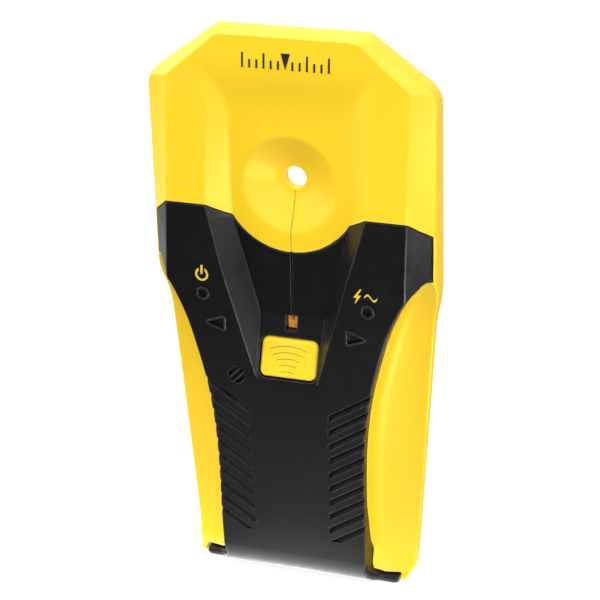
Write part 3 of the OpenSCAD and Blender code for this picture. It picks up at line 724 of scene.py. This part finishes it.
def finish(name, colour, rough, metal=0.0, grain=2600.0, bump=0.012, tint=0.93, spec=0.5, edge=None,
           corner_shade=None, scuff=0.06, glow=0.0, shadow=0.0):
    """A moulded, printed or metal surface: broad colour drift, fine grain, ridges lightened partly by wear
    and partly as a painted highlight, inner corners darkened as painted shade, and an optional painted glow.
    """
    m = bpy.data.materials.new(name)
    m.use_nodes = True
    nt, links = nodes_of(m)
    b = nt["Principled BSDF"]
    coord = nt.new("ShaderNodeTexCoord").outputs["Object"]
    dark = tuple(c * tint for c in colour)
    drift = ranged(nt, links, noise(nt, links, coord, DRIFT_SCALE), 0.35, 0.65, 0, 1)
    shade = mixed(nt, links, drift, dark, colour)
    # ridges lightened towards the edge colour, partly wear and partly a painted highlight, broken up by
    # patchy noise
    if edge:
        ridge_patches = ranged(nt, links, noise(nt, links, coord, RIDGE_PATCH_SCALE, 4.0), 0.4, 0.65, 0.25, 1.0)
        ridge = ranged(nt, links, attribute(nt, "edge"), 0.15, 0.7, 0, 0.8)
        shade = mixed(nt, links, joined(nt, links, "MULTIPLY", ridge, ridge_patches), shade, edge)
    # painted shade: inner corners and creases are darkened towards the inner-corner colour
    if corner_shade:
        shade_mask = ranged(nt, links, attribute(nt, "edge"), -0.1, -0.7, 0, 0.7)
        shade = mixed(nt, links, shade_mask, shade, corner_shade)
    links.new(shade, b.inputs["Base Color"])
    patches = noise(nt, links, coord, PATCH_SCALE, 5.0, 0.65)
    links.new(ranged(nt, links, patches, 0.3, 0.7, rough - scuff, rough + scuff), b.inputs["Roughness"])
    fine = nt.new("ShaderNodeBump")
    fine.inputs["Strength"].default_value = 1.0
    fine.inputs["Distance"].default_value = bump * MM
    links.new(noise(nt, links, coord, grain, 2.0), fine.inputs["Height"])
    links.new(fine.outputs["Normal"], b.inputs["Normal"])
    b.inputs["Metallic"].default_value = metal
    b.inputs["Specular IOR Level"].default_value = spec
    if shadow:
        dimmed = ranged(nt, links, attribute(nt, "hollow"), 0.15, 0.8, spec, spec * (1 - shadow))
        links.new(dimmed, b.inputs["Specular IOR Level"])
    # painted glow: the surface emits its own colour, though it is not a lamp
    if glow:
        links.new(shade, b.inputs["Emission Color"])
        b.inputs["Emission Strength"].default_value = glow
    return m


# edge is the colour of ridges, lighter partly from wear and partly as a painted highlight; the inner-corner
# colour is painted shade
FINISHES = {
    "yellow_shell": dict(
        colour=(0.94, 0.63, 0.014), rough=0.42, bump=0.010, tint=0.975,
        edge=(0.98, 0.78, 0.08), corner_shade=(0.85, 0.5, 0.008)),
    "yellow_button": dict(
        colour=(0.93, 0.63, 0.014), rough=0.4, bump=0.006, tint=0.97,
        edge=(0.97, 0.74, 0.06), corner_shade=(0.5, 0.27, 0.01)),
    "black_shell": dict(
        colour=(0.0036, 0.0036, 0.0038), rough=0.37, grain=2000.0, bump=0.03, tint=0.8, spec=0.31,
        shadow=0.85, edge=(0.03, 0.03, 0.032), corner_shade=(0.002, 0.002, 0.002)),
    "black_plate": dict(colour=(0.011, 0.011, 0.012), rough=0.5, grain=1800.0, bump=0.035, spec=0.4),
    "white_plastic": dict(colour=(0.7, 0.69, 0.65), rough=0.4),
    "dark_plastic": dict(colour=(0.012, 0.012, 0.013), rough=0.35, grain=3200.0),
    "smoke_lens": dict(colour=(0.006, 0.006, 0.007), rough=0.14, bump=0.003, scuff=0.03),
    # the amber lens's glow is painted light; the lens is no lamp
    "amber_lens": dict(colour=(0.62, 0.27, 0.04), rough=0.25, glow=0.25, bump=0.004),
    "board": dict(colour=(0.006, 0.09, 0.03), rough=0.35, grain=900.0, bump=0.02),
    "led_green": dict(colour=(0.35, 0.8, 0.4), rough=0.2, bump=0.003),
    "led_red": dict(colour=(0.7, 0.08, 0.05), rough=0.2, bump=0.003),
    "led_amber": dict(colour=(0.08, 0.03, 0.006), rough=0.2, bump=0.003),
    "tin": dict(colour=(0.72, 0.72, 0.74), rough=0.3, metal=1.0),
    "ceramic": dict(colour=(0.3, 0.2, 0.12), rough=0.5),
    "copper": dict(colour=(0.8, 0.42, 0.2), rough=0.3, metal=1.0),
    "cell_steel": dict(colour=(0.66, 0.66, 0.68), rough=0.25, metal=1.0, grain=1500.0),
    "cell_print": dict(colour=(0.6, 0.16, 0.02), rough=0.3),
    "spring_steel": dict(colour=(0.7, 0.7, 0.71), rough=0.28, metal=1.0, grain=1500.0),
    "wire_red": dict(colour=(0.5, 0.012, 0.01), rough=0.45),
    "wire_black": dict(colour=(0.01, 0.01, 0.011), rough=0.45),
    "screw_steel": dict(colour=(0.5, 0.5, 0.52), rough=0.32, metal=1.0, grain=1500.0),
    "yellow_print": dict(colour=(0.85, 0.53, 0.04), rough=0.5, bump=0.004),
    "black_print": dict(colour=(0.012, 0.009, 0.008), rough=0.45, bump=0.004),
}
SURFACES = {slot: finish(slot, **look) for slot, look in FINISHES.items()}
SLOTS = {sub["node"]: sub["material_slot"] for sub in frame["record"]["subparts"]}
REPLACED = {"front_shell": head, "front_cover": cover, "scan_button": button}
PRINTS = ("symbols", "head_scale")
BEVELS = {"back_shell": 0.25, "battery_door": 0.25}
FINE_BEVEL = 0.1

for node, piece in REPLACED.items():
    piece.data.materials.append(SURFACES[SLOTS[node]])

for node, o in frame["nodes"].items():
    o.data.materials.clear()
    o.data.materials.append(SURFACES[SLOTS[node]])
    if node in REPLACED or node in PRINTS:
        continue
    weld = o.modifiers.new("weld", "WELD")
    weld.merge_threshold = 0.001 * MM
    bevel = o.modifiers.new("soft edges", "BEVEL")
    bevel.width = BEVELS.get(node, FINE_BEVEL) * MM
    bevel.segments = 2
    bevel.limit_method = "ANGLE"
    bevel.angle_limit = math.radians(35)
    bevel.harden_normals = True

# ---------------------------------------------------------------- camera
AZ, EL, ROLL = (math.radians(a) for a in (20.716, 23.172, -1.7756))
LENS = 128.694
SENSOR = 36
EYE = (0.2195070, -0.5830045, 0.2243587)

back = Vector((math.sin(AZ) * math.cos(EL), -math.cos(AZ) * math.cos(EL), math.sin(EL)))
level_up = Vector((-math.sin(AZ) * math.sin(EL), math.cos(AZ) * math.sin(EL), math.cos(EL)))
level_right = level_up.cross(back)
right = math.cos(ROLL) * level_right + math.sin(ROLL) * level_up
up = math.cos(ROLL) * level_up - math.sin(ROLL) * level_right
camera = bpy.data.objects.new("camera", bpy.data.cameras.new("camera"))
camera.data.lens = LENS
camera.data.sensor_width = SENSOR
camera.data.clip_start = 0.01
camera.matrix_world = Matrix.Translation(EYE) @ Matrix((right, up, back)).transposed().to_4x4()
bpy.context.scene.collection.objects.link(camera)
bpy.context.scene.camera = camera
bpy.context.scene.view_settings.view_transform = "Standard"

# ---------------------------------------------------------------- light from the studio around
SKY = 0.85
# soft boxes: direction, full within and gone beyond so many degrees, strength
LOBES = (
    ((0.90, -0.25, 0.10), 5, 50, 0.65),
    ((-0.25, 0.72, 0.66), 5, 45, 0.8),
    ((0.25, -0.82, 0.52), 5, 48, 2.2),
    ((-0.93, -0.1, 0.35), 5, 50, 3.2),
)
FLAG = ((-0.30, -0.92, -0.10), 22, 50, 0.95)  # black card that shades the grip

world = bpy.data.worlds.new("studio")
bpy.context.scene.world = world
world.use_nodes = True
nt, links = nodes_of(world)
around = nt.new("ShaderNodeTexCoord").outputs["Generated"]


def glow_towards(direction, inner, outer, amount):
    """Brightness that fades from inner to outer degrees away from a direction."""
    dot = nt.new("ShaderNodeVectorMath")
    dot.operation = "DOT_PRODUCT"
    dot.inputs[1].default_value = Vector(direction).normalized()
    links.new(around, dot.inputs[0])
    near, far = math.cos(math.radians(inner)), math.cos(math.radians(outer))
    return ranged(nt, links, dot.outputs["Value"], far, near, 0, amount, smooth=True)


glow = SKY
for lobe in LOBES:
    glow = joined(nt, links, "ADD", glow, glow_towards(*lobe))
open_share = joined(nt, links, "SUBTRACT", 1.0, glow_towards(*FLAG))
sky = nt["Background"]
sky.inputs["Color"].default_value = (1, 1, 1, 1)
links.new(joined(nt, links, "MULTIPLY", glow, open_share), sky.inputs["Strength"])

# ---------------------------------------------------------------- floor, lit from within
REACH = 3.0
FLOOR_DROP = 0.05
FLOOR_SEEN = 0.82
# pools of light on the floor, in metres: centre, full within, gone beyond, strength
POOLS = (
    ((0, 0), 0.0, 0.055, 5.6),
    ((0, 0), 0.05, 0.26, 0.6),
    ((0.2, -0.17), 0.03, 0.16, 3.0),
    ((0, -0.012), 0.004, 0.032, -1.1),
    ((-0.35, 0.12), 0.08, 0.32, 0.9),
    ((0, 0.6), 0.1, 0.6, 0.8),
)
POOL_BASE = 0.03
GLINT = ((0.22, -0.18), 0.03, 0.17, 26.0)  # seen only in reflections, on the valley's left wall

floor_mesh = bpy.data.meshes.new("floor")
corners = [(-REACH, -REACH, 0), (REACH, -REACH, 0), (REACH, REACH, 0), (-REACH, REACH, 0)]
floor_mesh.from_pydata(corners, [], [(0, 1, 2, 3)])
floor = bpy.data.objects.new("floor", floor_mesh)
floor.location.z = (BOTTOM_Z - FLOOR_DROP) * MM
bpy.context.scene.collection.objects.link(floor)
paper = bpy.data.materials.new("floor")
paper.use_nodes = True
nt, links = nodes_of(paper)
place = nt.new("ShaderNodeTexCoord").outputs["Object"]


def pool(centre, inner, outer, amount):
    """Brightness that fades from inner to outer metres away from a point on the floor."""
    away = nt.new("ShaderNodeVectorMath")
    away.operation = "DISTANCE"
    away.inputs[1].default_value = (*centre, 0)
    links.new(place, away.inputs[0])
    return ranged(nt, links, away.outputs["Value"], inner, outer, amount, 0.0, smooth=True)


spread = POOL_BASE
for spot in POOLS:
    spread = joined(nt, links, "ADD", pool(*spot), spread)
path = nt.new("ShaderNodeLightPath")
camera_ray = path.outputs["Is Camera Ray"]
spread = joined(nt, links, "MULTIPLY_ADD", path.outputs["Is Glossy Ray"], pool(*GLINT), spread)
seen = nt.new("ShaderNodeMix")
seen.data_type = "FLOAT"
links.new(camera_ray, seen.inputs["Factor"])
links.new(spread, seen.inputs[2])
seen.inputs[3].default_value = FLOOR_SEEN
b = nt["Principled BSDF"]
b.inputs["Roughness"].default_value = 0.9
b.inputs["Emission Color"].default_value = (1, 1, 1, 1)
links.new(seen.outputs[0], b.inputs["Emission Strength"])
links.new(mixed(nt, links, camera_ray, (0.02, 0.02, 0.02), (0.3, 0.3, 0.3)), b.inputs["Base Color"])
floor_mesh.materials.append(paper)
